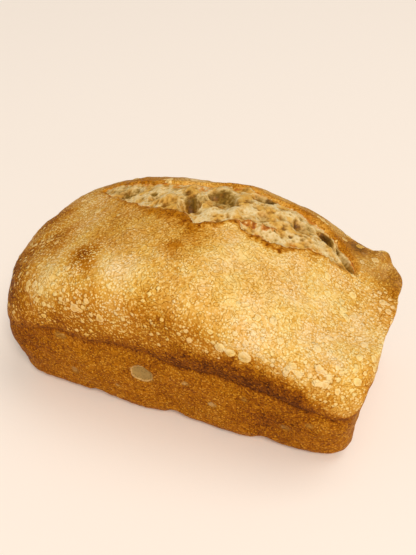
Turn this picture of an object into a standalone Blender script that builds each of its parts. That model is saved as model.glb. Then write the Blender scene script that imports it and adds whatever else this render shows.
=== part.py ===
"""A loaf of sourdough that was proved and baked in a tin.

Its lower part kept the tin's straight tapered sides, the dough swelled out over the tin's rim in
a fold, and the high dome burst along its back, where a long tear shows the crumb.

Metres. +X runs along the loaf to its lower end, -Y is the long side in front, +Z is up, and the
origin is the middle of the flat base.
"""

import math

import bmesh
import bpy
from mathutils import Vector, noise

MM = 0.001

# What the tin gave: a rounded oblong with tapered sides
HALF_LENGTH = 113.5 * MM
HALF_WIDTH = 64.3 * MM
TIN_SQUARENESS = 8.5
TAPER = 6.3 * MM
BASE_RADIUS = 12.1 * MM
# The flat foot is an oval, and the border round it lifts a little towards the base's edge
FOOT_SQUARENESS = 2.0
FOOT_MARGIN = 9.0 * MM
FOOT_LIFT = 0.5 * MM

# The fold over the tin's rim, in front: (along, height) in millimetres
FOLD_FRONT = (
    (-114, 45.5), (-96, 48.8), (-81, 54.2), (-66, 57.6), (-59, 55.8), (-51, 53.4), (-42, 55.2),
    (-34, 57.2), (-10, 58.0), (2, 55.2), (24, 54.8), (31, 55.6), (46, 53.4), (64, 52.8),
    (80, 48.6), (90, 46.2), (97, 42.8), (104, 41.2), (114, 41.2),
)
# Round the right corner it climbs again: (rise, where along and where across it begins, and over
# how long each way), in millimetres
FOLD_CLIMB = (16.0, 101, -57, 9, 12)
# Behind, where the photo doesn't show it, it runs in an even arch
FOLD_END = 44.0 * MM
FOLD_ARCH = 12.0 * MM
FOLD_DEPTH = 2.2 * MM
# The shoulder of the swell over the fold, which arches up along each long side
SHOULDER_END = 77.0 * MM
SHOULDER_ARCH = 16.4 * MM
LEAN = 1.4 * MM
SWELL = 2.6 * MM
# How quickly the swell comes out and climbs over the fold
SWELL_CURL = 2.5
SWELL_START = 1.35

# The dome: its crest falls away to each end, further to the right
CREST = 113.0 * MM
DOME_SQUARENESS = 3.76
# (how far the crest falls by the end, power of the curve that falls there)
LEFT_FALL = (32.2 * MM, 1.65)
RIGHT_FALL = (57.4 * MM, 1.99)
SHOULDER_CURL = 0.694
SHOULDER_CLIMB = 1.12
# By the right end the dome is lower than its edge, and sinks to it more gently
SHOULDER_SINK = 2.2
# How far out the grid of the top reaches, before the side's levels begin
TOP_REACH = 0.84
# How far the dome's edge is rounded down, in the middle and at the ends
MIDDLE_DROP = 6.0 * MM
END_DROP = 6.5 * MM

# The tear's two lips, as (along, across) points in millimetres from the left end to the right
FRONT_LIP = (
    (-90, 40), (-77, 29), (-56, 15), (-38, 7), (-26, 6), (-14, 4), (-5, -5), (5, -2), (17, 8),
    (22, 1), (38, 2), (48, 5), (61, 16), (75, 18), (90, 20),
)
BACK_LIP = (
    (-90, 41), (-77, 44), (-47, 43), (-31, 45), (-9, 50), (11, 51), (28, 47), (37, 49), (58, 47),
    (69, 43), (80, 35), (86, 29), (90, 20),
)
# How deep the crumb lies under the crust beside each lip: (along, depth) in millimetres
FRONT_STEP = ((-90, 0), (-67, 2), (-26, 3.6), (-5, 4.2), (12, 3.2), (28, 2.6), (50, 1.2), (91, 0.3))
BACK_STEP = ((-90, 0), (-62, 1.5), (-10, 1.2), (40, 1.8), (62, 2.2), (91, 0.8))
# The lips are ragged: (size of a tatter, how far it strays in millimetres)
LIP_TATTERS = (6 * MM, 2.2)
LIP_SLOPE = 3.2 * MM
# The crust rolls up in a low ridge, this far in front of the front lip and this wide, in millimetres
ROLL_RISE = 0.9 * MM
ROLL_SETBACK = 2.5
ROLL_WIDTH = 4.0
# The tear lies above this height only
TEAR_FLOOR = 70 * MM

# Hollows in the crumb: (along, across, half length, half width, depth, turn in degrees)
HOLLOWS = (
    (-64, 31, 9, 6, 2.6, 10),
    (-44, 24, 4, 3.5, 3.0, 0),
    (-17, 17, 8, 9, 8.5, 0),
    (0, 27, 12, 9, 4.6, -10),
    (22, 43, 8, 4, 3.2, -15),
    (29, 24, 5, 4, 2.0, 0),
    (34, 7, 9, 3.5, 1.6, 10),
    (50, 32, 6, 4, 2.2, -30),
    (66, 35, 8, 3.2, 5.5, -35),
    (81, 27, 11, 2.8, 5.0, -42),
)
# Rises of the crumb between the hollows: (along, across, height of its middle, radius, rise)
RIDGES = (
    (-8, 20, 113, 5, 2.4),
    (-33, 24, 109, 10, 1.8),
    (-24, 36, 108, 9, 1.6),
    (12, 15, 112, 9, 1.2),
    (24, 12, 110, 5, 1.8),
    (31, 14, 109, 5, 2.0),
    (38, 15, 107, 5, 1.8),
    (40, 38, 104, 10, 1.4),
)
# Lumps and shallow dips of the crust, set out in the same way
LUMPS = (
    (99, 53, 77, 10, 3.4),
    (113, 38, 73, 16, 3.0),
    (-114, 0, 74, 36, 2.4),
    (-107, -54, 36, 22, 1.6),
    (80, 64, 84, 36, -4.6),
    (113, 28, 42, 42, -4.6),
    (113, -16, 40, 38, -4.4),
    (106, -46, 12, 20, 1.8),
    (-112, -50, 64, 26, -1.6),
    (116, -8, 64, 36, -2.0),
    (112, -52, 50, 14, 1.6),
    (-18, 60, 102, 30, -1.4),
)
# Dents where the dough didn't reach down to the tin's lower edge, in the same way
DENTS = (
    (-49, -56, 2, 9, 3.4),
    (2, -56, 2, 10, 3.4),
    (59, -56, 2, 9, 3.4),
    (-24, 56, 2, 9, 2.4),
    (44, 56, 2, 10, 2.8),
    (-104, 12, 2, 8, 2.2),
    (104, 22, 2, 9, 2.4),
)

# Unevenness of the skin, as (size of a swelling, how far it stands out)
DOME_SWELLINGS = (34 * MM, 1.5 * MM)
SKIN_SWELLINGS = (12 * MM, 0.5 * MM)
CRUMB_SWELLINGS = (9 * MM, 1.8 * MM)
FOLD_WANDER = (21 * MM, 0.9 * MM)

# The height over which the unevenness begins, above the flat foot
BASE_EASE = 4 * MM

# The grid that is laid over the loaf: its columns, its rows, and its levels up the side, of which
# there are some under the base, round its edge, up the wall, up the swell and round the shoulder
COLUMNS = 64
ROWS = 34
LEVELS = (1, 3, 4, 4, 4)
CORNER_CROWDING = 0.1

CRUST = (0.56, 0.30, 0.09, 1.0)


def smooth_step(share):
    share = max(0.0, min(1.0, share))
    return share * share * (3 - 2 * share)


def between(along, points):
    """The value at a place along the loaf, on straight runs between (along, value) points, in mm."""
    for (start, first), (end, second) in zip(points, points[1:]):
        if along < end:
            return first + (second - first) * max(0.0, (along - start) / (end - start))
    return points[-1][1]


def unevenness(point, size, rise, offset=0.0):
    return rise * noise.noise(point / size + Vector((offset, offset, offset)))


def arch_height(x, y, end, rise):
    """An arch along the loaf that leans to the left, with the line's own unevenness."""
    share = max(-1.0, min(1.0, x / HALF_LENGTH))
    lean = LEAN * math.sin(math.pi * share)
    return end + rise * (1 - share * share) - lean + unevenness(Vector((x, y, 0)), *FOLD_WANDER)


def fold_height(x, y):
    rise, along, across, run, width = FOLD_CLIMB
    climbed = smooth_step((x / MM - along) / run) * smooth_step((y / MM - across) / width)
    front = (between(x / MM, FOLD_FRONT) + rise * climbed) * MM
    back = arch_height(x, y, FOLD_END, FOLD_ARCH)
    return front + (back - front) * smooth_step(0.5 + y / HALF_WIDTH / 1.6)


def outline(u, v, squareness, out):
    """The plan outline in the direction of a point (u, v) of a square's edge, moved outwards."""
    reach = (abs(u) ** squareness + abs(v) ** squareness) ** (1 / squareness)
    return u / reach * (HALF_LENGTH + out), v / reach * (HALF_WIDTH + out)


def crest_height(x):
    fall, power = LEFT_FALL if x < 0 else RIGHT_FALL
    return CREST - fall * (abs(x) / HALF_LENGTH) ** power


def shoulder_height(x, y):
    return arch_height(x, y, SHOULDER_END, SHOULDER_ARCH)


def shoulder_drop(x):
    return MIDDLE_DROP + (END_DROP - MIDDLE_DROP) * min(1.0, abs(x) / HALF_LENGTH) ** 3


def dome_height(x, y):
    along = abs(x) / (HALF_LENGTH + SWELL)
    across = abs(y) / (HALF_WIDTH + SWELL)
    reach = (along**DOME_SQUARENESS + across**DOME_SQUARENESS) ** (1 / DOME_SQUARENESS)
    climb = math.sin(math.acos(min(1.0, reach) ** (1 / SHOULDER_CURL)))
    shoulder = shoulder_height(x, y)
    rise = crest_height(x) - shoulder
    rise *= climb ** (SHOULDER_CLIMB if rise > 0 else SHOULDER_SINK)
    return shoulder + rise - shoulder_drop(x) * (1 - climb) ** 2


def side_point(u, v, level):
    """A point of the side: level runs from 0 at the foot, round the base, up wall and swell, to 5."""
    stretch = min(len(LEVELS) - 1, int(level))
    share = level - stretch
    if stretch == 0:
        squareness = FOOT_SQUARENESS + (TIN_SQUARENESS - FOOT_SQUARENESS) * share
        x, y = outline(u, v, squareness, -TAPER - BASE_RADIUS - FOOT_MARGIN * (1 - share))
        return Vector((x, y, FOOT_LIFT * share))
    if stretch == 1:
        turn = share * math.pi / 2
        x, y = outline(u, v, TIN_SQUARENESS, -TAPER - BASE_RADIUS * (1 - math.sin(turn)))
        return Vector((x, y, FOOT_LIFT + (BASE_RADIUS - FOOT_LIFT) * (1 - math.cos(turn))))
    if stretch == 2:
        x, y = outline(u, v, TIN_SQUARENESS, -TAPER * (1 - share) - FOLD_DEPTH * share**3)
        return Vector((x, y, BASE_RADIUS + (fold_height(x, y) - BASE_RADIUS) * share))
    if stretch == 3:
        squareness = TIN_SQUARENESS + (DOME_SQUARENESS - TIN_SQUARENESS) * share
        out = SWELL - (SWELL + FOLD_DEPTH) * (1 - share) ** SWELL_CURL
        x, y = outline(u, v, squareness, out)
        fold = fold_height(x, y)
        rise = shoulder_height(x, y) - shoulder_drop(x) - fold
        return Vector((x, y, fold + rise * share**SWELL_START))
    turn = share * math.acos(TOP_REACH ** (1 / SHOULDER_CURL))
    x, y = outline(u, v, DOME_SQUARENESS, SWELL)
    inward = math.cos(turn) ** SHOULDER_CURL
    return Vector((x * inward, y * inward, dome_height(x * inward, y * inward)))


def top_point(u, v):
    ring = max(abs(u), abs(v), 1e-9)
    x, y = outline(u / ring, v / ring, DOME_SQUARENESS, SWELL)
    x, y = x * ring * TOP_REACH, y * ring * TOP_REACH
    return Vector((x, y, dome_height(x, y)))


def tear(x, y):
    """(how far inside the tear, how deep the crumb lies, how far the crust's lip rolls up)."""
    along, across = x / MM, y / MM
    ragged = unevenness(Vector((x, 0, 0)), *LIP_TATTERS)
    front = between(along, FRONT_LIP) + ragged
    back = max(front, between(along, BACK_LIP) - ragged)
    past_front = smooth_step((across - front) * MM / LIP_SLOPE)
    before_back = smooth_step((back - across) * MM / LIP_SLOPE)
    share = max(0.0, min(1.0, (across - front) / max(1.0, back - front)))
    front_step = between(along, FRONT_STEP)
    step = front_step * (1 - share) + between(along, BACK_STEP) * share
    roll = max(0.0, 1 - abs(across - front + ROLL_SETBACK) / ROLL_WIDTH)
    return past_front * before_back, step * MM, roll * ROLL_RISE * front_step / ROLL_WIDTH


def mound(point, place, radius):
    """1 in the middle of a round mound, 0 from its edge on."""
    away = (point - Vector(place) * MM).length / (radius * MM)
    return smooth_step(1 - away)


def hollow(x, y, along, across, half_length, half_width, turn):
    angle = math.radians(turn)
    dx, dy = x / MM - along, y / MM - across
    lengthwise = (dx * math.cos(angle) + dy * math.sin(angle)) / half_length
    sideways = (dy * math.cos(angle) - dx * math.sin(angle)) / half_width
    return math.sqrt(max(0.0, 1 - lengthwise**2 - sideways**2))


def crumb_relief(point, step):
    out = unevenness(point, *CRUMB_SWELLINGS, 3.0) - step
    for *place, radius, rise in RIDGES:
        out += rise * MM * mound(point, place, radius)
    for *place, depth, turn in HOLLOWS:
        out -= depth * MM * hollow(point.x, point.y, *place, turn)
    return out


def relief(point):
    """How far the skin stands out of the smooth form at a point."""
    out = unevenness(point, *DOME_SWELLINGS) + unevenness(point, *SKIN_SWELLINGS)
    for *place, radius, rise in LUMPS:
        out += rise * MM * mound(point, place, radius)
    if point.z > TEAR_FLOOR:
        inside, step, rolled = tear(point.x, point.y)
        out += rolled + inside * crumb_relief(point, step)
    out *= smooth_step(point.z / BASE_EASE)
    for *place, radius, depth in DENTS:
        out -= depth * MM * mound(point, place, radius)
    return out


def gridded_block():
    """A block of half size 1 with a grid over its top and sides, and one face below."""
    block = bmesh.new()
    bmesh.ops.create_cube(block, size=2)
    for axis, parts in enumerate((COLUMNS, ROWS, sum(LEVELS))):
        along = [
            edge
            for edge in block.edges
            if abs(edge.verts[0].co[axis] - edge.verts[1].co[axis]) > 1
        ]
        bmesh.ops.subdivide_edges(block, edges=along, cuts=parts - 1, use_grid_fill=True)
    below = [face for face in block.faces if face.normal.z < -0.5]
    bmesh.ops.dissolve_faces(block, faces=below, use_verts=False)
    return block


def crowd(share):
    """Moves the grid's lines a little towards the corners, where the outline turns."""
    return share + CORNER_CROWDING * (share - share**3)


def stretch_of(height):
    """The level of side_point for a height -1 to 1 of the block."""
    row = (height + 1) / 2 * sum(LEVELS)
    for stretch, rows in enumerate(LEVELS):
        if row <= rows:
            return stretch + row / rows
        row -= rows
    return float(len(LEVELS))


def shape_loaf(block):
    top = 1 - 1e-6
    for vertex in block.verts:
        u, v, height = vertex.co
        if height > top:
            vertex.co = top_point(crowd(u), crowd(v))
        else:
            vertex.co = side_point(crowd(u), crowd(v), stretch_of(height))
    bmesh.ops.recalc_face_normals(block, faces=block.faces)
    block.normal_update()
    outwards = [vertex.normal * relief(vertex.co) for vertex in block.verts]
    for vertex, move in zip(block.verts, outwards):
        vertex.co += move


def crust_material():
    material = bpy.data.materials.new("baked crust")
    material.use_nodes = True
    shader = material.node_tree.nodes["Principled BSDF"]
    shader.inputs["Base Color"].default_value = CRUST
    shader.inputs["Roughness"].default_value = 0.55
    shader.inputs["Metallic"].default_value = 0.0
    return material


def make_loaf():
    block = gridded_block()
    shape_loaf(block)
    mesh = bpy.data.meshes.new("loaf")
    block.to_mesh(mesh)
    block.free()
    mesh.materials.append(crust_material())
    mesh.shade_smooth()
    loaf = bpy.data.objects.new("loaf", mesh)
    bpy.context.scene.collection.objects.link(loaf)
    return loaf


for leftover in list(bpy.data.objects):
    bpy.data.objects.remove(leftover, do_unlink=True)
make_loaf()
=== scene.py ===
"""The looks of a tin-baked sourdough loaf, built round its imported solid.

The crust is one closed skin with the blisters, the fold and the ragged lips in its mesh, and the
torn crumb is a second, finer piece that lies in the tear. Metres, in the frame's own axes.
"""

import math
import random

import bmesh
import bpy
from mathutils import Matrix, Vector, kdtree, noise


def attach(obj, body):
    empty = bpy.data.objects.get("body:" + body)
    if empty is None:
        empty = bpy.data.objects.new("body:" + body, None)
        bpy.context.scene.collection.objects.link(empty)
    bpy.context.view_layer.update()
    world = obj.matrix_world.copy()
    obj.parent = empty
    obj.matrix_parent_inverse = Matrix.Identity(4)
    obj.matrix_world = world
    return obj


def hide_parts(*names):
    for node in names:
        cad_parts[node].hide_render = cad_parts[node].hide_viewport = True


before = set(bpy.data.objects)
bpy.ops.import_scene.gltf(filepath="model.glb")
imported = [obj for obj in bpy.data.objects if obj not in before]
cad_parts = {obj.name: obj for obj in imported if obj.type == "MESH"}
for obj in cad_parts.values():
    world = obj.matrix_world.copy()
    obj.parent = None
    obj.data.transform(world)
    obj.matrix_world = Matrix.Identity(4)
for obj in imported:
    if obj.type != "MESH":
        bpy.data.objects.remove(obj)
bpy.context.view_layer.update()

MM = 0.001

# Without a seed the vector noise would take one from the clock and differ in each run
NOISE_SEED = 5
noise.seed_set(NOISE_SEED)

# What the tin gave: a rounded oblong with tapered sides
HALF_LENGTH = 113.5 * MM
HALF_WIDTH = 64.3 * MM
TIN_SQUARENESS = 8.5
TAPER = 6.3 * MM
BASE_RADIUS = 12.1 * MM
# The flat foot is an oval, and the border round it lifts a little towards the base's edge
FOOT_SQUARENESS = 2.0
FOOT_MARGIN = 9.0 * MM
FOOT_LIFT = 0.5 * MM

# The fold over the tin's rim, in front: (along, height) in millimetres
FOLD_FRONT = (
    (-114, 45.5), (-96, 48.8), (-81, 54.2), (-66, 57.6), (-59, 55.8), (-51, 53.4), (-42, 55.2),
    (-34, 57.2), (-10, 58.0), (2, 55.2), (24, 54.8), (31, 55.6), (46, 53.4), (64, 52.8),
    (80, 48.6), (90, 46.2), (97, 42.8), (104, 41.2), (114, 41.2),
)
# Round the right corner it climbs again: (rise, where along and where across it begins, and over
# how long each way), in millimetres
FOLD_CLIMB = (16.0, 101, -57, 9, 12)
# Behind, where the photo doesn't show it, it runs in an even arch
FOLD_END = 44.0 * MM
FOLD_ARCH = 12.0 * MM
FOLD_DEPTH = 2.2 * MM
# Over how much of the half width the front's line turns into the arch behind
FOLD_TURN = 1.6
# The shoulder of the swell over the fold, which arches up along each long side
SHOULDER_END = 77.0 * MM
SHOULDER_ARCH = 16.4 * MM
LEAN = 1.4 * MM
SWELL = 2.6 * MM
# How quickly the swell comes out and climbs over the fold
SWELL_CURL = 2.5
SWELL_START = 1.35

# The dome: its crest falls away to each end, further to the right
CREST = 113.0 * MM
DOME_SQUARENESS = 3.76
# (how far the crest falls by the end, power of the curve that falls there)
LEFT_FALL = (32.2 * MM, 1.65)
RIGHT_FALL = (57.4 * MM, 1.99)
SHOULDER_CURL = 0.694
SHOULDER_CLIMB = 1.12
# By the right end the dome is lower than its edge, and sinks to it more gently
SHOULDER_SINK = 2.2
# How far out the grid of the top reaches, before the side's levels begin
TOP_REACH = 0.84
# How far the dome's edge is rounded down, in the middle and at the ends
MIDDLE_DROP = 6.0 * MM
END_DROP = 6.5 * MM

# The tear's two lips, as (along, across) points in millimetres from the left end to the right
FRONT_LIP = (
    (-90, 40), (-77, 29), (-56, 15), (-38, 7), (-26, 6), (-14, 4), (-5, -5), (5, -2), (17, 8),
    (22, 1), (38, 2), (48, 5), (61, 16), (75, 18), (90, 20),
)
BACK_LIP = (
    (-90, 41), (-77, 44), (-47, 43), (-31, 45), (-9, 50), (11, 51), (28, 47), (37, 49), (58, 47),
    (69, 43), (80, 35), (86, 29), (90, 20),
)
# How deep the crumb lies under the crust beside each lip: (along, depth) in millimetres
FRONT_STEP = ((-90, 0), (-67, 2), (-26, 3.6), (-5, 4.2), (12, 3.2), (28, 2.6), (50, 1.2), (91, 0.3))
BACK_STEP = ((-90, 0), (-62, 1.5), (-10, 1.2), (40, 1.8), (62, 2.2), (91, 0.8))
# The lips are ragged: (size of a tatter, how far it strays in millimetres), coarse and fine
LIP_TATTERS = (6 * MM, 2.2)
FINE_TATTERS = (1.7 * MM, 0.9)
# Over how much width the crust ends at a lip
LIP_SLOPE = 1.6 * MM
# The crust rolls up in a low ridge, this far in front of the front lip and this wide, in millimetres
ROLL_RISE = 0.9 * MM
ROLL_SETBACK = 2.5
ROLL_WIDTH = 4.0
# The tear lies above this height only
TEAR_FLOOR = 70 * MM

# Hollows in the crumb: (along, across, half length, half width, depth, turn in degrees)
HOLLOWS = (
    (-64, 31, 9, 6, 2.6, 10),
    (-44, 24, 4, 3.5, 3.0, 0),
    (-17, 17, 8, 9, 8.5, 0),
    (0, 27, 12, 9, 4.6, -10),
    (22, 43, 8, 4, 3.2, -15),
    (29, 24, 5, 4, 2.0, 0),
    (34, 7, 9, 3.5, 1.6, 10),
    (50, 32, 6, 4, 2.2, -30),
    (66, 35, 8, 3.2, 5.5, -35),
    (81, 27, 11, 2.8, 5.0, -42),
)
# Rises of the crumb between the hollows: (along, across, height of its middle, radius, rise)
RIDGES = (
    (-8, 20, 113, 5, 2.4),
    (-33, 24, 109, 10, 1.8),
    (-24, 36, 108, 9, 1.6),
    (12, 15, 112, 9, 1.2),
    (24, 12, 110, 5, 1.8),
    (31, 14, 109, 5, 2.0),
    (38, 15, 107, 5, 1.8),
    (40, 38, 104, 10, 1.4),
)
# Lumps and shallow dips of the crust, set out in the same way
LUMPS = (
    (99, 53, 77, 10, 3.4),
    (113, 38, 73, 16, 3.0),
    (-114, 0, 74, 36, 2.4),
    (-107, -54, 36, 22, 1.6),
    (80, 64, 84, 36, -4.6),
    (113, 28, 42, 42, -4.6),
    (113, -16, 40, 38, -4.4),
    (106, -46, 12, 20, 1.8),
    (-112, -50, 64, 26, -1.6),
    (116, -8, 64, 36, -2.0),
    (112, -52, 50, 14, 1.6),
    (-18, 60, 102, 30, -1.4),
)
# Dents where the dough didn't reach down to the tin's lower edge, in the same way
DENTS = (
    (-49, -56, 2, 9, 3.4),
    (2, -56, 2, 10, 3.4),
    (59, -56, 2, 9, 3.4),
    (-24, 56, 2, 9, 2.4),
    (44, 56, 2, 10, 2.8),
    (-104, 12, 2, 8, 2.2),
    (104, 22, 2, 9, 2.4),
)

# Unevenness of the skin, as (size of a swelling, how far it stands out)
DOME_SWELLINGS = (34 * MM, 1.5 * MM)
SKIN_SWELLINGS = (12 * MM, 0.5 * MM)
SKIN_RIPPLES = (4.6 * MM, 0.34 * MM)
SKIN_GRAIN = (2.3 * MM, 0.16 * MM)
CRUMB_SWELLINGS = (9 * MM, 1.8 * MM)
FOLD_WANDER = (21 * MM, 0.9 * MM)
# The height over which the unevenness begins, above the flat foot
BASE_EASE = 4 * MM

# The grid of the crust: columns, rows, and levels under the base, round its edge, up the wall,
# up the swell and round the shoulder
COLUMNS = 196
ROWS = 112
LEVELS = (10, 14, 34, 26, 20)
CORNER_CROWDING = 0.1
# The level, counted in those stretches, at which the swell begins, and the one over which
# blisters stand
SWELL_LEVEL = 3
BLISTER_LEVEL = 3.1


def smooth_step(share):
    share = max(0.0, min(1.0, share))
    return share * share * (3 - 2 * share)


def between(along, points):
    """The value at a place along the loaf, on straight runs between (along, value) points, in mm."""
    for (start, first), (end, second) in zip(points, points[1:]):
        if along < end:
            return first + (second - first) * max(0.0, (along - start) / (end - start))
    return points[-1][1]


def unevenness(point, size, rise, offset=0.0):
    return rise * noise.noise(point / size + Vector((offset, offset, offset)))


def arch_height(x, y, end, rise):
    """An arch along the loaf that leans to the left, with the line's own unevenness."""
    share = max(-1.0, min(1.0, x / HALF_LENGTH))
    lean = LEAN * math.sin(math.pi * share)
    return end + rise * (1 - share * share) - lean + unevenness(Vector((x, y, 0)), *FOLD_WANDER)


def fold_height(x, y):
    rise, along, across, run, width = FOLD_CLIMB
    climbed = smooth_step((x / MM - along) / run) * smooth_step((y / MM - across) / width)
    front = (between(x / MM, FOLD_FRONT) + rise * climbed) * MM
    back = arch_height(x, y, FOLD_END, FOLD_ARCH)
    return front + (back - front) * smooth_step(0.5 + y / HALF_WIDTH / FOLD_TURN)


def outline(u, v, squareness, out):
    """The plan outline in the direction of a point (u, v) of a square's edge, moved outwards."""
    reach = (abs(u) ** squareness + abs(v) ** squareness) ** (1 / squareness)
    return u / reach * (HALF_LENGTH + out), v / reach * (HALF_WIDTH + out)


def crest_height(x):
    fall, power = LEFT_FALL if x < 0 else RIGHT_FALL
    return CREST - fall * (abs(x) / HALF_LENGTH) ** power


def shoulder_height(x, y):
    return arch_height(x, y, SHOULDER_END, SHOULDER_ARCH)


def shoulder_drop(x):
    return MIDDLE_DROP + (END_DROP - MIDDLE_DROP) * min(1.0, abs(x) / HALF_LENGTH) ** 3


def dome_height(x, y):
    along = abs(x) / (HALF_LENGTH + SWELL)
    across = abs(y) / (HALF_WIDTH + SWELL)
    reach = (along**DOME_SQUARENESS + across**DOME_SQUARENESS) ** (1 / DOME_SQUARENESS)
    climb = math.sin(math.acos(min(1.0, reach) ** (1 / SHOULDER_CURL)))
    shoulder = shoulder_height(x, y)
    rise = crest_height(x) - shoulder
    rise *= climb ** (SHOULDER_CLIMB if rise > 0 else SHOULDER_SINK)
    return shoulder + rise - shoulder_drop(x) * (1 - climb) ** 2


def side_point(u, v, level):
    """A point of the side: level runs from 0 at the foot, round the base, up wall and swell, to 5."""
    stretch = min(len(LEVELS) - 1, int(level))
    share = level - stretch
    if stretch == 0:
        squareness = FOOT_SQUARENESS + (TIN_SQUARENESS - FOOT_SQUARENESS) * share
        x, y = outline(u, v, squareness, -TAPER - BASE_RADIUS - FOOT_MARGIN * (1 - share))
        return Vector((x, y, FOOT_LIFT * share))
    if stretch == 1:
        turn = share * math.pi / 2
        x, y = outline(u, v, TIN_SQUARENESS, -TAPER - BASE_RADIUS * (1 - math.sin(turn)))
        return Vector((x, y, FOOT_LIFT + (BASE_RADIUS - FOOT_LIFT) * (1 - math.cos(turn))))
    if stretch == 2:
        x, y = outline(u, v, TIN_SQUARENESS, -TAPER * (1 - share) - FOLD_DEPTH * share**3)
        return Vector((x, y, BASE_RADIUS + (fold_height(x, y) - BASE_RADIUS) * share))
    if stretch == 3:
        squareness = TIN_SQUARENESS + (DOME_SQUARENESS - TIN_SQUARENESS) * share
        out = SWELL - (SWELL + FOLD_DEPTH) * (1 - share) ** SWELL_CURL
        x, y = outline(u, v, squareness, out)
        fold = fold_height(x, y)
        rise = shoulder_height(x, y) - shoulder_drop(x) - fold
        return Vector((x, y, fold + rise * share**SWELL_START))
    turn = share * math.acos(TOP_REACH ** (1 / SHOULDER_CURL))
    x, y = outline(u, v, DOME_SQUARENESS, SWELL)
    inward = math.cos(turn) ** SHOULDER_CURL
    return Vector((x * inward, y * inward, dome_height(x * inward, y * inward)))


def top_point(u, v):
    ring = max(abs(u), abs(v), 1e-9)
    x, y = outline(u / ring, v / ring, DOME_SQUARENESS, SWELL)
    x, y = x * ring * TOP_REACH, y * ring * TOP_REACH
    return Vector((x, y, dome_height(x, y)))


def lips(x):
    """(front, back) of the tear in millimetres at a place along the loaf."""
    point = Vector((x, 0, 0))
    ragged = unevenness(point, *LIP_TATTERS) + unevenness(point, *FINE_TATTERS)
    front = between(x / MM, FRONT_LIP) + ragged
    return front, max(front, between(x / MM, BACK_LIP) - ragged)


def tear(x, y):
    """(how far inside the tear, how deep the crumb lies, how far the crust's lip rolls up)."""
    along, across = x / MM, y / MM
    front, back = lips(x)
    past_front = smooth_step((across - front) * MM / LIP_SLOPE)
    before_back = smooth_step((back - across) * MM / LIP_SLOPE)
    share = max(0.0, min(1.0, (across - front) / max(1.0, back - front)))
    front_step = between(along, FRONT_STEP)
    step = front_step * (1 - share) + between(along, BACK_STEP) * share
    roll = max(0.0, 1 - abs(across - front + ROLL_SETBACK) / ROLL_WIDTH)
    return past_front * before_back, step * MM, roll * ROLL_RISE * front_step / ROLL_WIDTH


def mound(point, place, radius):
    """1 in the middle of a round mound, 0 from its edge on."""
    away = (point - Vector(place) * MM).length / (radius * MM)
    return smooth_step(1 - away)


def mounded(point, mounds):
    """What (middle, reach, how much) mounds add up to at a point."""
    return sum(much * mound(point, place, reach) for place, reach, much in mounds)


def hollow(x, y, along, across, half_length, half_width, turn):
    angle = math.radians(turn)
    dx, dy = x / MM - along, y / MM - across
    lengthwise = (dx * math.cos(angle) + dy * math.sin(angle)) / half_length
    sideways = (dy * math.cos(angle) - dx * math.sin(angle)) / half_width
    return math.sqrt(max(0.0, 1 - lengthwise**2 - sideways**2))


def crumb_relief(point, step):
    out = unevenness(point, *CRUMB_SWELLINGS, 3.0) - step
    for *place, radius, rise in RIDGES:
        out += rise * MM * mound(point, place, radius)
    for *place, depth, turn in HOLLOWS:
        out -= depth * MM * hollow(point.x, point.y, *place, turn)
    return out


# The largest blisters of the skin, (place, radius, height) in millimetres
NAMED_BLISTERS = (
    ((35, -67, 82), 3.4, 1.2), ((41, -67, 80), 3.0, 1.1), ((49, -66, 79), 4.2, 1.4),
    ((79, -65, 75), 3.0, 1.0), ((88, -64, 71), 3.6, 1.2), ((94, -61, 75), 4.2, 1.4),
    ((72, -65, 77), 2.6, 0.5),
    ((18, -68, 82), 2.4, 0.4), ((-61, -67, 86), 2.6, 0.5), ((-52, -67, 84), 2.4, 0.4),
    ((-44, -67, 90), 2.4, 0.4), ((-36, -67, 80), 2.6, 0.5),
)
# Fields of blisters, (middle, reach, how many, least radius, most radius, height) in millimetres
BLISTER_FIELDS = (
    ((92, -60, 74), 24, 22, 1.5, 2.6, 0.9),
    ((44, -66, 82), 26, 14, 1.5, 2.6, 0.8),
    ((106, -6, 74), 40, 30, 1.5, 2.8, 0.50),
    ((-60, -66, 82), 30, 16, 1.4, 2.4, 0.40),
    ((-106, 6, 80), 40, 18, 1.4, 2.4, 0.40),
    ((60, 66, 80), 44, 30, 1.5, 2.8, 0.50),
    ((-50, 66, 80), 44, 26, 1.5, 2.6, 0.45),
)
BLISTER_SEED = 11
# A blister's edge strays from round: (size of a tatter, how far it strays)
BLISTER_RAGGED = (2.4 * MM, 0.9 * MM)
# The power of a blister's curve: the less, the fuller
BLISTER_CURVE = 0.7
# None stands where there is more than this of the fold's dark band
BLISTER_BAND = 0.3
# How far outside a blister its surroundings count, in radii, below 0
OUTSIDE_BLISTER = -0.8

# Where beads crowd the skin: (middle, reach in millimetres, how crowded from 0 to 1)
BEADED = (
    ((-108, -34, 74), 46, 0.86), ((-62, -66, 80), 36, 0.80), ((-4, -66, 84), 40, 0.30),
    ((44, -66, 80), 32, 0.60), ((90, -62, 70), 34, 0.75), ((108, 0, 76), 44, 0.50),
    ((60, 66, 82), 46, 0.50), ((-50, 66, 82), 46, 0.50), ((-112, 40, 70), 40, 0.50),
)
# How crowded they are elsewhere, and how full each of those places is up to its edge
BEADED_LEAST = 0.07
BEADED_FILL = 1.6

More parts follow.
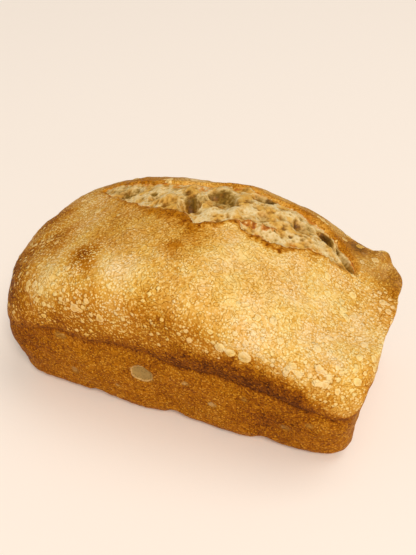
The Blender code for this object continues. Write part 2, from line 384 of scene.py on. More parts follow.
# Pale patches where a bubble kept the dough off the tin:
# (place, half width, half height, depth in millimetres, how pale from 0 to 1)
PALE_PATCHES = (
    ((-16, -61, 38), 8.2, 7.6, 1.1, 1.0), ((-68, -62, 52), 4.4, 3.0, 0.5, 0.45),
    ((-63, -59, 23), 3.4, 4.2, 0.6, 0.35), ((12, -61, 41), 3.0, 2.2, 0.4, 0.4),
    ((28, -60, 28), 3.6, 2.6, 0.5, 0.4), ((48, -62, 42), 2.6, 2.2, 0.4, 0.35),
    ((72, -59, 25), 3.6, 3.6, 0.6, 0.35), ((86, -60, 34), 3.0, 2.8, 0.4, 0.35),
    ((-34, -61, 20), 3.2, 2.6, 0.5, 0.4), ((-52, 61, 34), 7.0, 5.0, 0.8, 0.9),
    ((20, 62, 44), 4.0, 3.0, 0.5, 0.5), ((74, 60, 28), 5.0, 4.0, 0.6, 0.5),
    ((-8, 60, 22), 3.6, 3.0, 0.5, 0.4), ((109, 6, 30), 5.0, 4.0, 0.6, 0.5),
    ((-110, -12, 34), 5.0, 4.0, 0.6, 0.5),
)
# Their edge strays, as (size, share of the radius), and fades over this share of it
PATCH_RAGGED = (3 * MM, 0.15)
PATCH_EDGE = 0.3

# How far the oven browned the skin, from 0, pale straw, to 1, dark brown
LEFT_BAKE = 0.50
RIGHT_BAKE = 0.34
TIN_BAKE = 0.725
# From here along, and over this length in millimetres, the left's values turn to the right's
RIGHT_FROM = (-30, 70)
# Its unevenness on the dome and on the tin's sides: (size, how much), coarse and fine
DOME_UNEVEN = ((20 * MM, 0.09), (8 * MM, 0.05))
TIN_UNEVEN = ((14 * MM, 0.06), (4 * MM, 0.03))
# (middle, reach in millimetres, how much browner)
BROWNED = (
    ((-98, -56, 72), 30, 0.22), ((-114, -40, 72), 30, 0.24), ((-108, 8, 84), 30, 0.16),
    ((-118, 10, 66), 40, 0.14),
    ((-59, -40, 100), 15, 0.33), ((-50, -50, 100), 9, 0.20), ((-74, -58, 90), 22, -0.26),
    ((-6, -66, 84), 28, 0.18), ((90, -62, 72), 30, 0.04), ((-34, -34, 108), 34, -0.05),
    ((-94, -22, 90), 24, 0.22), ((-66, -64, 76), 24, 0.12),
    ((-30, -50, 104), 30, -0.18), ((-7, -28, 112), 7, 0.22), ((1, -16, 113), 16, 0.14),
    ((-40, -66, 74), 36, 0.16), ((14, -12, 112), 10, 0.06), ((27, -67, 86), 14, 0.07),
    ((18, -67, 76), 34, 0.24), ((84, 50, 82), 14, 0.40), ((99, 53, 79), 13, 0.30),
    ((112, 4, 76), 30, 0.19), ((94, -62, 60), 18, 0.14), ((108, 34, 80), 28, 0.30),
    ((80, 44, 92), 24, 0.28), ((64, 16, 98), 16, 0.10),
    ((-30, 56, 104), 34, -0.08), ((-60, 60, 84), 44, 0.20), ((50, 60, 88), 50, 0.14),
    ((116, 30, 66), 26, 0.16), ((30, 66, 74), 46, 0.14), ((24, 64, 88), 12, 0.2),
)
# The dark band above the fold, partly a browner crust and partly painted shade under the swell and in
# the crease: (along, height in millimetres at which it has half faded), how far it reaches below, and
# how dark it is, which strays by (size, how much)
BAND_ABOVE = (
    (-118, 5), (-60, 5.5), (-30, 6.5), (-7, 8), (2, 14), (9, 19), (26, 20), (45, 24), (63, 22),
    (80, 18), (91, 8), (100, 5.5), (118, 4.5),
)
BAND_BELOW = 4.0
BAND_BAKE_AND_SHADE = 0.80
BAND_WANDER = (6 * MM, 0.08)
# Its upper edge is ragged, coarse and fine, and fades from the first share of its height over
# the second
BAND_RAGGED = ((8 * MM, 0.30), (3 * MM, 0.25))
BAND_FADE = (0.55, 0.90)
# Painted shade makes it darkest along its foot in the crease, the more so the wider it is
BAND_FOOT_SHADE = 0.15
BAND_FULL = 18.0
# The dome's lower part is a little darker over this height above the fold, in millimetres: partly browner
# crust, partly painted shade where it rolls under
UNDER_DOME_BROWN_AND_SHADE = (26.0, 0.19)
# The skin is browner along the front lip: (along, width in millimetres) and (along, how much)
LIP_WIDTH = (
    (-90, 1.5), (-60, 3), (-46, 5.5), (-38, 9), (-28, 14), (-14, 14), (-4, 10), (4, 6), (17, 5),
    (22, 3.5), (30, 6), (36, 9), (48, 9), (53, 4.5), (90, 1.8),
)
LIP_BAKE = (
    (-90, 0.08), (-60, 0.12), (-44, 0.12), (-28, 0.12), (-8, 0.15), (4, 0.22), (12, 0.24), (17, 0.30),
    (22, 0.26), (30, 0.28), (36, 0.31), (48, 0.31), (54, 0.16), (90, 0.12),
)
# That browning fades from the first share of its width over the second, with a ragged edge, and
# is blotched and scorched, each as (size, how much)
LIP_FADE = (0.4, 0.6)
LIP_RAGGED = (2.4 * MM, 0.5)
LIP_EVEN = 0.85
LIP_BLOTCHES = (3 * MM, 0.8)
LIP_SCORCHES = (2 * MM, 2.0)
# Where the lips are closer than this the browning fades, in millimetres
OPEN_WIDTH = 6
# The back lip's golden edge: how far behind the lip its middle lies, its reach, and (how much
# browner on the left, how much more on the right, where that begins, over what length)
BACK_LIP_SETBACK = 1.5
BACK_LIP_BAND = 5.0
BACK_LIP_GOLD = (0.02, 0.12, -20, 20)
# Behind the tear the skin is a duller straw: how much so, and how far behind the lip it begins and
# over how many millimetres
DULL_BACK = 0.30
DULL_EASE = (2, 8)
# How strongly the pinhead blisters fleck the skin, and (middle, reach, how much more) of places
LEFT_SPECKLE = 0.80
RIGHT_SPECKLE = 0.62
TIN_SPECKLE = 0.50
SPECKLED = (
    ((-57, -42, 100), 18, 0.90), ((-74, -58, 90), 20, -0.50), ((-34, -66, 80), 36, 0.15),
    ((-4, -66, 84), 26, -0.20), ((-112, -40, 72), 34, -0.50), ((26, -66, 80), 26, 0.20),
)
# The crown has fewer: (share left there, how much more lower down, from which height in
# millimetres, over how many)
CROWN_SPECKLE = (0.70, 0.40, 106, 18)
# How much of them is lost beside the lips and behind the tear, and over how many millimetres
PLAIN_LIPS = 0.8
PLAIN_BACK = 0.7
BEHIND_EASE = 3
# How much browner the tin baked parts of its sides, as BROWNED
TIN_BROWNED = (((-92, -60, 40), 44, 0.09), ((64, -60, 30), 30, 0.11), ((-20, 60, 30), 40, 0.05))

# The crumb piece: its reach along the loaf, its grid, how far it tucks under the lips, how deep the
# crust's skin is buried below it, and over how many millimetres it comes down from the front lip
CRUMB_REACH = (-87 * MM, 88 * MM)
CRUMB_COLUMNS = 400
CRUMB_ROWS = 92
TUCK = 1.1 * MM
TUCK_DEPTH = 2.6 * MM
BURIAL = 5.5 * MM
CRUMB_BACKING = 4.0 * MM
CRUMB_EASE = 5.0
# Over this length its ends come down to that burial, and over this many tucks its edge goes down
END_EASE = 3 * MM
TUCK_EASE = 1.5
# Bubbles of the torn crumb: (how many, least radius, most radius, depth as a share of the radius)
BUBBLES = (
    (30, 2.4, 4.4, 0.30),
    (240, 1.2, 2.3, 0.46),
    (1300, 0.6, 1.1, 0.55),
)
BUBBLE_SEED = 23
BUBBLE_RAGGED = (3.0 * MM, 0.35 * MM)
# Bubbles with a smaller radius than this take less painted shade inside
FULLY_SHADED_BUBBLE = 1.5 * MM
CRUMB_GRAIN = (1.1 * MM, 0.10 * MM)
# How dark the crumb is on its face, and how much painted shade darkens it more in a bubble and in a hole
CRUMB_PAINTED_SHADES = (0.08, 0.42, 0.85)
# How much painted shade darkens each of the hollows, in their order, from 0 to 1
HOLLOW_PAINTED_SHADES = (0.50, 0.45, 0.40, 0.45, 0.60, 0.42, 0.12, 0.45, 0.60, 0.40)
# Small named holes, as the hollows, and how much painted shade darkens each
PITS = (
    (-19, 24, 4.0, 5.6, 2.5, 0, 0.86), (-1, 35, 10, 5.5, 1.4, -8, 0.70), (27, 45, 4.4, 2.8, 1.2, -12, 0.95),
    (66, 38, 6.5, 1.7, 1.0, -38, 1.0), (84, 25, 7, 1.5, 1.0, -42, 0.95), (-62, 32, 5, 3.4, 0.8, 10, 0.60),
    (-46, 29, 3.0, 2.2, 1.8, 0, 0.85), (-33, 16, 3.2, 3.0, 1.2, 0, 0.50), (-35, 6, 2.2, 1.2, 0.9, 0, 0.55),
    (0, 32, 2.6, 2.8, 1.6, 0, 0.95), (5.5, 32, 1.8, 1.8, 1.2, 0, 0.85), (-8, 33, 3.0, 2.0, 1.0, 0, 0.75),
    (47, 34, 2.4, 1.0, 1.0, -30, 0.85), (39, 15, 1.3, 1.1, 0.8, 0, 0.75), (48, 18, 1.6, 1.5, 0.9, 0, 0.75),
    (57, 30, 1.2, 1.2, 0.8, 0, 0.75), (74, 34, 2.0, 1.5, 1.2, -40, 0.90), (8, 6, 3.6, 1.8, 0.8, 0, 0.45),
    (43, 22, 1.8, 1.4, 0.7, 0, 0.45), (16, 33, 3.4, 2.4, 0.8, 10, 0.35), (-24, 31, 4.0, 2.6, 0.9, 0, 0.45),
)
# Toasted crags inside the tear: (place, reach in millimetres, how toasted)
TOASTED = (
    ((17, 9, 111), 5, 1.0), ((22, 10, 110), 5, 0.95), ((26, 12, 109), 4.5, 1.0), ((33, 14, 107), 5, 0.85),
    ((38, 16, 105), 4.5, 0.85), ((-32, 42, 106), 12, 0.5), ((-16, 40, 108), 8, 0.6), ((5, -3, 113), 5, 0.6),
    ((51, 12, 99), 5, 0.7), ((60, 12, 97), 6, 0.6), ((66, 19, 95), 6, 0.5), ((-32, 2, 109), 5, 0.6),
    ((-6, 48, 108), 5, 0.8), ((4, 49, 108), 5, 0.8), ((-20, 1, 111), 4, 0.8),
)
CRAG_FILL = 1.5
CRAG_EVEN = 0.85
CRAG_BLOTCHES = (2 * MM, 0.7)
# The crumb is toasted beside the lips too: how far from the front one and the back one, in
# millimetres, how much, and its blotches as (size, how much)
TOASTED_LIPS = (2.5, 6)
TOASTED_EVEN = 0.50
TOASTED_BLOTCHES = (5 * MM, 0.7)


def gridded_block():
    """A block of half size 1 with a grid over its top and sides, and one face below."""
    block = bmesh.new()
    bmesh.ops.create_cube(block, size=2)
    for axis, parts in enumerate((COLUMNS, ROWS, sum(LEVELS))):
        along = [
            edge
            for edge in block.edges
            if abs(edge.verts[0].co[axis] - edge.verts[1].co[axis]) > 1
        ]
        bmesh.ops.subdivide_edges(block, edges=along, cuts=parts - 1, use_grid_fill=True)
    below = [face for face in block.faces if face.normal.z < -0.5]
    bmesh.ops.dissolve_faces(block, faces=below, use_verts=False)
    return block


def crowd(share):
    """Moves the grid's lines a little towards the corners, where the outline turns."""
    return share + CORNER_CROWDING * (share - share**3)


def stretch_of(height):
    """The level of side_point for a height -1 to 1 of the block."""
    row = (height + 1) / 2 * sum(LEVELS)
    for stretch, rows in enumerate(LEVELS):
        if row <= rows:
            return stretch + row / rows
        row -= rows
    return float(len(LEVELS))


def spread_blisters(skin):
    """(place, radius, height) in metres of every blister. skin holds the points that carry them."""
    chance = random.Random(BLISTER_SEED)
    tree = near_tree(skin)
    found = [(Vector(place) * MM, radius * MM, height * MM) for place, radius, height in NAMED_BLISTERS]
    for middle, reach, count, least, most, height in BLISTER_FIELDS:
        near = tree.find_range(Vector(middle) * MM, reach * MM)
        for point, _, _ in chance.choices(near, k=count):
            radius = chance.uniform(least, most)
            if fold_band_and_shade(point)[0] < BLISTER_BAND:
                found.append((point, radius * MM, height * MM * radius / most))
    return found


def near_tree(places):
    tree = kdtree.KDTree(len(places))
    for index, place in enumerate(places):
        tree.insert(place, index)
    tree.balance()
    return tree


def blister_at(point, tree, blisters, widest):
    """(height, depth inside the nearest blister) at a point of the skin. The second value is 1 in
    a blister's middle, 0 on its edge and less than 0 outside."""
    size, stray = BLISTER_RAGGED
    asked = point + noise.noise_vector(point / size) * stray
    height, depth = 0.0, OUTSIDE_BLISTER
    for _, index, away in tree.find_range(asked, widest * (1 - OUTSIDE_BLISTER)):
        _, radius, rise = blisters[index]
        inside = 1 - away / radius
        if inside > 0:
            height = max(height, rise * (inside * (2 - inside)) ** BLISTER_CURVE)
        depth = max(depth, inside)
    return height, depth


def patch_at(point):
    """(depth, how much of a pale patch there is from 0 to 1) at a point of the tin's side."""
    depth, share = 0.0, 0.0
    for place, half_width, half_height, deep, pale in PALE_PATCHES:
        offset = point / MM - Vector(place)
        if offset.length > 2 * half_width:
            continue
        across = math.hypot(offset.x, offset.y) / half_width
        reach = math.hypot(across, offset.z / half_height) + unevenness(point, *PATCH_RAGGED)
        inside = smooth_step((1 - reach) / PATCH_EDGE)
        depth = max(depth, deep * MM * inside)
        share = max(share, pale * inside)
    return depth, share


def broad_relief(point):
    """How far the loaf's swellings and lumps stand out at a point, in crust and crumb alike."""
    out = unevenness(point, *DOME_SWELLINGS) + unevenness(point, *SKIN_SWELLINGS)
    for *place, radius, rise in LUMPS:
        out += rise * MM * mound(point, place, radius)
    return out


def crust_relief(point):
    """How far the skin stands out of the smooth form at a point, without its blisters."""
    out = broad_relief(point) + unevenness(point, *SKIN_RIPPLES) + unevenness(point, *SKIN_GRAIN)
    if point.z > TEAR_FLOOR:
        inside, step, rolled = tear(point.x, point.y)
        reached = min(point.x - CRUMB_REACH[0], CRUMB_REACH[1] - point.x) / END_EASE
        out += rolled + inside * (crumb_relief(point, step) - BURIAL * smooth_step(reached))
    out *= smooth_step(point.z / BASE_EASE)
    for *place, radius, depth in DENTS:
        out -= depth * MM * mound(point, place, radius)
    return out


def fold_band_and_shade(point):
    """(how much of the dark band along the fold there is from 0 to 1, how dark it is) at a point. The band
    is partly browner crust and partly painted shade.
    """
    over_fold = (point.z - fold_height(point.x, point.y)) / MM
    reach = between(point.x / MM, BAND_ABOVE)
    foot = BAND_FOOT_SHADE * min(1.0, reach / BAND_FULL)
    if over_fold < 0:
        return 1 - smooth_step(-over_fold / BAND_BELOW), BAND_BAKE_AND_SHADE + foot
    coarse, fine = (unevenness(point, *tatter) for tatter in BAND_RAGGED)
    share = over_fold / reach / (1 + coarse + fine)
    start, run = BAND_FADE
    browned = BAND_BAKE_AND_SHADE + foot * max(0.0, 1 - over_fold / reach)
    return 1 - smooth_step((share - start) / run), browned


def lip_band(point):
    """(how much browner the skin is beside the tear, how much plainer from 0 to 1) at a point."""
    along, across = point.x / MM, point.y / MM
    front, back = lips(point.x)
    open_here = smooth_step((back - front) / OPEN_WIDTH)
    before = (front - across) / between(along, LIP_WIDTH) + unevenness(point, *LIP_RAGGED)
    start, run = LIP_FADE
    near_front = 1 - smooth_step((before - start) / run)
    near_back = 1 - smooth_step(abs(across - back - BACK_LIP_SETBACK) / BACK_LIP_BAND)
    if across > (front + back) / 2:
        near_front = 0.0
    scorched = max(0.0, unevenness(point, *LIP_SCORCHES))
    blotched = LIP_EVEN + unevenness(point, *LIP_BLOTCHES) + scorched
    least, more, start, run = BACK_LIP_GOLD
    golden_back = least + more * smooth_step((along - start) / run)
    browner = max(between(along, LIP_BAKE) * near_front * blotched, golden_back * near_back)
    behind = smooth_step((across - back) / BEHIND_EASE)
    plainer = max(PLAIN_LIPS * near_front, PLAIN_LIPS * near_back, PLAIN_BACK * behind)
    return browner * open_here, plainer * open_here


def bake_at(point, level):
    """(how far the oven browned the skin, how strongly pinheads fleck it, how crowded its beads
    are) at a point."""
    band, band_bake_and_shade = fold_band_and_shade(point)
    if level < SWELL_LEVEL:
        bake = TIN_BAKE + sum(unevenness(point, *spread) for spread in TIN_UNEVEN)
        bake += mounded(point, TIN_BROWNED)
        return bake + (band_bake_and_shade - bake) * band, TIN_SPECKLE, 0.0
    start, run = RIGHT_FROM
    right = smooth_step((point.x / MM - start) / run)
    bake = LEFT_BAKE + (RIGHT_BAKE - LEFT_BAKE) * right
    bake += sum(unevenness(point, *spread) for spread in DOME_UNEVEN)
    bake += mounded(point, BROWNED)
    beaded = BEADED_LEAST
    for place, reach, crowded in BEADED:
        beaded = max(beaded, crowded * smooth_step(BEADED_FILL * mound(point, place, reach)))
    speckle = LEFT_SPECKLE + (RIGHT_SPECKLE - LEFT_SPECKLE) * right
    least, more, start, run = CROWN_SPECKLE
    speckle *= least + more * smooth_step((start - point.z / MM) / run)
    speckle += mounded(point, SPECKLED)
    if point.z > TEAR_FLOOR:
        browner, plainer = lip_band(point)
        bake += browner
        speckle *= 1 - plainer
        beaded *= 1 - plainer
    # Partly browning and partly painted shade where the dome rolls under towards the fold
    height, browner = UNDER_DOME_BROWN_AND_SHADE
    over_fold = (point.z - fold_height(point.x, point.y)) / MM
    bake += browner * (1 - smooth_step(over_fold / height))
    # The fold's band of browner crust and painted shade
    bake += (band_bake_and_shade + unevenness(point, *BAND_WANDER) - bake) * band
    return bake, speckle + (TIN_SPECKLE - speckle) * band, beaded * (1 - band)


def shape_crust(block):
    """Moves the block's points to the skin, and gives each its browning and what lies on it."""
    bake_layer, speckle_layer, beaded_layer, blister_layer, patch_layer = (
        block.verts.layers.float.new(name) for name in SKIN_LAYERS
    )
    top = 1 - 1e-6
    levels = []
    for vertex in block.verts:
        u, v, height = vertex.co
        level = len(LEVELS) if height > top else stretch_of(height)
        levels.append(level)
        if height > top:
            vertex.co = top_point(crowd(u), crowd(v))
        else:
            vertex.co = side_point(crowd(u), crowd(v), level)
    bmesh.ops.recalc_face_normals(block, faces=block.faces)
    block.normal_update()
    skin = [vertex.co.copy() for vertex, level in zip(block.verts, levels) if level > BLISTER_LEVEL]
    blisters = spread_blisters(skin)
    tree = near_tree([place for place, _, _ in blisters])
    widest = max(radius for _, radius, _ in blisters)
    outwards = []
    start, run = DULL_EASE
    for vertex, level in zip(block.verts, levels):
        point = vertex.co
        rise, deep = 0.0, 0.0
        vertex[blister_layer] = OUTSIDE_BLISTER
        if level > SWELL_LEVEL:
            rise, vertex[blister_layer] = blister_at(point, tree, blisters, widest)
            behind = point.y / MM - lips(point.x)[1]
            vertex[patch_layer] = DULL_BACK * smooth_step((behind - start) / run)
        else:
            deep, vertex[patch_layer] = patch_at(point)
        vertex[bake_layer], vertex[speckle_layer], vertex[beaded_layer] = bake_at(point, level)
        outwards.append(vertex.normal * (crust_relief(point) + rise - deep))
    for vertex, move in zip(block.verts, outwards):
        vertex.co += move


def linear(colour):
    """A hex sRGB colour as linear red, green, blue and alpha."""
    shares = [int(colour[place : place + 2], 16) / 255 for place in (1, 3, 5)]
    return [s / 12.92 if s <= 0.04045 else ((s + 0.055) / 1.055) ** 2.4 for s in shares] + [1.0]


def add(tree, kind, inputs, **settings):
    """Adds a shader node with its settings; inputs holds values and other nodes' outputs."""
    node = tree.nodes.new("ShaderNode" + kind)
    for name, value in settings.items():
        setattr(node, name, value)
    for socket, value in inputs.items():
        if isinstance(value, bpy.types.NodeSocket):
            tree.links.new(value, node.inputs[socket])
        else:
            node.inputs[socket].default_value = value
    return node


def spread_stops(ramp, stops):
    """Gives a colour ramp its (place, colour) stops."""
    elements = ramp.color_ramp.elements
    while len(elements) < len(stops):
        elements.new(0.5)
    for element, (place, colour) in zip(elements, stops):
        element.position = place
        element.color = linear(colour)


def new_material(name):
    material = bpy.data.materials.new(name)
    material.use_nodes = True
    return material, material.node_tree, material.node_tree.nodes["Principled BSDF"]


# What the crust's mesh tells its material, point by point
SKIN_LAYERS = ("bake", "speckle", "beaded", "blister", "patch")
# How browning turns the crust's colour
BAKE_COLOURS = (
    (0.00, "#fae8b8"), (0.20, "#f2d597"), (0.40, "#deac4e"), (0.60, "#bc7a11"), (0.80, "#8c4d06"),
    (1.00, "#4a2206"),
)
# The dull straw of the pale patches and of the skin behind the tear; its pale middle stop paints a
# highlight round the edge of the fuller patches
PATCH_COLOURS_WITH_RIM_HIGHLIGHT = ((0.30, "#a37f3e"), (0.55, "#f0d294"), (0.78, "#b79253"), (1.0, "#a3824a"))
# The tones that the dome's skin strays between
ROSY = "#fff9f7"
YELLOW = "#fffce4"
# The sizes of the crust's patterns
PINHEAD = 1.45 * MM
BEAD = 3.4 * MM
EDGE_TATTER = 1.3 * MM
EDGE_STRAY = 1.4 * MM
WRINKLE = 6.0 * MM
MOTTLE = 6.5 * MM
GRAIN = 0.8 * MM
TONE = 16.0 * MM
SKIN_BUMP = 0.55 * MM


def baked_crust():
    """Wheat crust baked from a wet dough: a dull golden skin crowded with pinhead blisters and
    wider beads, each paler than the thin brown net that is left between them."""
    material, tree, shader = new_material("blistered wheat crust")
    place = add(tree, "TexCoord", {}).outputs["Object"]
    bake, speckle, beaded, blister, patch = (
        add(tree, "Attribute", {}, attribute_name=name).outputs["Fac"]
        for name in SKIN_LAYERS
    )

    # What follows strays from round by about half a millimetre
    stray = add(tree, "TexNoise", {"Vector": place, "Scale": 1 / EDGE_TATTER, "Detail": 2.0})
    centred = add(
        tree, "VectorMath", {0: stray.outputs["Color"], 1: (0.5, 0.5, 0.5)}, operation="SUBTRACT"
    )
    moved = add(tree, "VectorMath", {0: centred.outputs[0], "Scale": EDGE_STRAY}, operation="SCALE")
    warped = add(tree, "VectorMath", {0: place, 1: moved.outputs[0]}, operation="ADD").outputs[0]

    # Pinhead blisters crowd each other, so that a thin brown net is left between them
    pinheads = add(tree, "TexVoronoi", {"Vector": warped, "Scale": 1 / PINHEAD})
    pinhead = add(
        tree, "MapRange",
        {"Value": pinheads.outputs["Distance"], "From Min": 0.62, "From Max": 0.26},
        interpolation_type="SMOOTHSTEP",
    ).outputs[0]
    chosen = add(tree, "SeparateColor", {0: pinheads.outputs["Color"]}).outputs[0]
    kept = add(tree, "MapRange", {"Value": chosen, "From Max": 0.6, "To Min": 0.2}).outputs[0]
    speck = add(tree, "Math", {0: pinhead, 1: kept}, operation="MULTIPLY").outputs[0]
    flecks = add(tree, "Math", {0: speck, 1: speckle}, operation="MULTIPLY").outputs[0]

    # Beads two or three times as wide stand among them
    beads = add(tree, "TexVoronoi", {"Vector": warped, "Scale": 1 / BEAD})
    _, bead_chosen, bead_size = add(tree, "SeparateColor", {0: beads.outputs["Color"]}).outputs
    spare = add(tree, "Math", {0: beaded, 1: bead_chosen}, operation="SUBTRACT").outputs[0]
    bead_kept = add(tree, "MapRange", {"Value": spare, "From Max": 0.08}).outputs[0]
    bead_radius = add(tree, "MapRange", {"Value": bead_size, "To Min": 0.26, "To Max": 0.56}).outputs[0]
    inward = add(
        tree, "MapRange",
        {"Value": beads.outputs["Distance"], "From Min": bead_radius, "From Max": 0.0},
    ).outputs[0]
    bead = add(tree, "Math", {0: inward, 1: bead_kept}, operation="MULTIPLY").outputs[0]
    # A painted shade ring darkens the crust just outside each bead
    bead_edge = add(tree, "Math", {0: bead_radius, 1: 0.12}, operation="ADD").outputs[0]
    beside = add(
        tree, "MapRange",
        {"Value": beads.outputs["Distance"], "From Min": bead_edge, "From Max": bead_radius},
    ).outputs[0]
    bead_shade_ring = add(tree, "Math", {0: beside, 1: bead_kept}, operation="MULTIPLY").outputs[0]
    bead_dome = add(tree, "Math", {0: bead, 1: 0.5}, operation="POWER").outputs[0]
    bead_cover = add(
        tree, "MapRange", {"Value": bead, "From Min": 0.0, "From Max": 0.35},
        interpolation_type="SMOOTHSTEP",
    ).outputs[0]

    # Where the skin stretched it lies in fine curved wrinkles, more so where it has few pinheads, each
    # painted darker along its crease as shade
    folds = add(tree, "TexNoise", {"Vector": warped, "Scale": 1 / WRINKLE, "Detail": 1.0})
    levels = add(tree, "Math", {0: folds.outputs[0], 1: 0.075}, operation="PINGPONG").outputs[0]
    smoother = add(
        tree, "MapRange",
        {"Value": speckle, "From Min": 0.60, "From Max": 1.0, "To Min": 1.0, "To Max": 0.1},
    ).outputs[0]
    line = add(
        tree, "MapRange", {"Value": levels, "From Min": 0.030, "From Max": 0.0},
        interpolation_type="SMOOTHSTEP",
    ).outputs[0]
    wrinkle = add(tree, "Math", {0: line, 1: smoother}, operation="MULTIPLY").outputs[0]

    # The ground is mottled and grained
    mottle = add(tree, "TexNoise", {"Vector": place, "Scale": 1 / MOTTLE, "Detail": 4.0})
    mottled = add(
        tree, "MapRange",
        {"Value": mottle.outputs[0], "From Min": 0.3, "From Max": 0.7, "To Min": -0.045, "To Max": 0.045},
    ).outputs[0]
    grain = add(tree, "TexNoise", {"Vector": place, "Scale": 1 / GRAIN, "Detail": 2.0})
    grained = add(
        tree, "MapRange",
        {"Value": grain.outputs[0], "From Min": 0.3, "From Max": 0.7, "To Min": -0.07, "To Max": 0.07},
    ).outputs[0]
    uneven = add(tree, "Math", {0: mottled, 1: grained}, operation="ADD").outputs[0]
    ground = add(tree, "Math", {0: bake, 1: uneven}, operation="ADD").outputs[0]
    # Painted shade darkens the crust along each wrinkle's crease
    with_crease_shade = add(tree, "Math", {0: wrinkle, 1: 0.12, 2: ground}, operation="MULTIPLY_ADD").outputs[0]
    flecked = add(tree, "Math", {0: flecks, 1: -0.40, 2: with_crease_shade}, operation="MULTIPLY_ADD").outputs[0]
    with_bead_shade = add(tree, "Math", {0: bead_shade_ring, 1: 0.10, 2: flecked}, operation="MULTIPLY_ADD").outputs[0]

    # The thin skin of a bead or a blister is paler, the more so the browner the crust is round it. Painted
    # highlights pale the beads' tops and the blisters' rims, and painted shade rings darken the crust round
    # both
    thin = add(tree, "Math", {0: ground, 1: 0.40, 2: 0.08}, operation="MULTIPLY_ADD").outputs[0]
    # A painted highlight makes each bead paler towards its top
    bead_skin_and_highlight = add(tree, "Math", {0: bead_dome, 1: -0.11, 2: thin}, operation="MULTIPLY_ADD").outputs[0]
    with_beads = add(
        tree, "Mix", {0: bead_cover, 2: with_bead_shade, 3: bead_skin_and_highlight}, data_type="FLOAT"
    ).outputs[0]
    blister_cover = add(
        tree, "MapRange", {"Value": blister, "From Min": 0.0, "From Max": 0.22},
        interpolation_type="SMOOTHSTEP",
    ).outputs[0]
    # A painted highlight makes each blister paler at its rim than in its middle
    blister_skin_and_rim_highlight = add(
        tree, "MapRange",
        {"Value": blister, "From Min": 0.15, "From Max": 0.80, "To Min": -0.11, "To Max": 0.05},
    ).outputs[0]
    thin_blister_and_highlight = add(tree, "Math", {0: thin, 1: blister_skin_and_rim_highlight}, operation="ADD").outputs[0]
    # A painted shade ring darkens the crust just outside each blister
    blister_shade_ring = add(
        tree, "MapRange", {"Value": blister, "From Min": -0.35, "From Max": 0.0, "To Max": 0.09}
    ).outputs[0]
    round_blisters = add(tree, "Math", {0: with_beads, 1: blister_shade_ring}, operation="ADD").outputs[0]
    browned = add(
        tree, "Mix", {0: blister_cover, 2: round_blisters, 3: thin_blister_and_highlight}, data_type="FLOAT"
    ).outputs[0]
    ramp = add(tree, "ValToRGB", {"Fac": browned})
    spread_stops(ramp, BAKE_COLOURS)

    # Patches that never touched the tin are a dull straw colour, with a painted highlight round the edge of
    # the fuller ones, and the dome strays between tones
    dappled = add(tree, "Math", {0: mottled, 1: 4.0, 2: patch}, operation="MULTIPLY_ADD").outputs[0]
    straw_and_rim_highlight = add(tree, "ValToRGB", {"Fac": dappled})
    spread_stops(straw_and_rim_highlight, PATCH_COLOURS_WITH_RIM_HIGHLIGHT)
    tones = add(tree, "TexNoise", {"Vector": place, "Scale": 1 / TONE, "Detail": 3.0})
    spread_tones = add(
        tree, "MapRange", {"Value": tones.outputs[0], "From Min": 0.38, "From Max": 0.62}
    ).outputs[0]
    tone = add(
        tree, "Mix", {0: spread_tones, 6: linear(ROSY), 7: linear(YELLOW)}, data_type="RGBA"
    ).outputs[2]
    toned = add(
        tree, "Mix", {0: 1.0, 6: ramp.outputs[0], 7: tone}, data_type="RGBA", blend_type="MULTIPLY"
    ).outputs[2]
    colour = add(
        tree, "Mix", {0: patch, 6: toned, 7: straw_and_rim_highlight.outputs[0]}, data_type="RGBA"
    ).outputs[2]
    tree.links.new(colour, shader.inputs["Base Color"])

    raised = add(tree, "Math", {0: bead_dome, 1: 1.1}, operation="MULTIPLY").outputs[0]
    low = add(tree, "Math", {0: flecks, 1: 0.50, 2: raised}, operation="MULTIPLY_ADD").outputs[0]
    height = add(tree, "Math", {0: wrinkle, 1: -0.45, 2: low}, operation="MULTIPLY_ADD").outputs[0]
    bump = add(tree, "Bump", {"Height": height, "Strength": 1.0, "Distance": SKIN_BUMP})
    tree.links.new(bump.outputs[0], shader.inputs["Normal"])
    dull = add(tree, "MapRange", {"Value": bead_dome, "To Min": 0.55, "To Max": 0.38}).outputs[0]
    tree.links.new(dull, shader.inputs["Roughness"])
    shine = add(
        tree, "MapRange",
        {"Value": bake, "From Min": 0.40, "From Max": 0.72, "To Min": 0.28, "To Max": 0.05},
    ).outputs[0]
    tree.links.new(shine, shader.inputs["Specular IOR Level"])
    shader.inputs["IOR"].default_value = 1.4
    return material


CRUMB_COLOURS = ((0.0, "#e4ce9c"), (0.3, "#cfae6c"), (0.62, "#8a661c"), (1.0, "#4a3306"))
TOAST_COLOURS = ((0.0, "#e9bd66"), (0.5, "#cc8426"), (1.0, "#8f4b0e"))
CRUMB_GOLD = "#f6d992"
# The sizes of the crumb's patterns
PORE = 1.5 * MM
GOLDEN_PATCH = 9.0 * MM
CRUMB_BUMP = 0.4 * MM


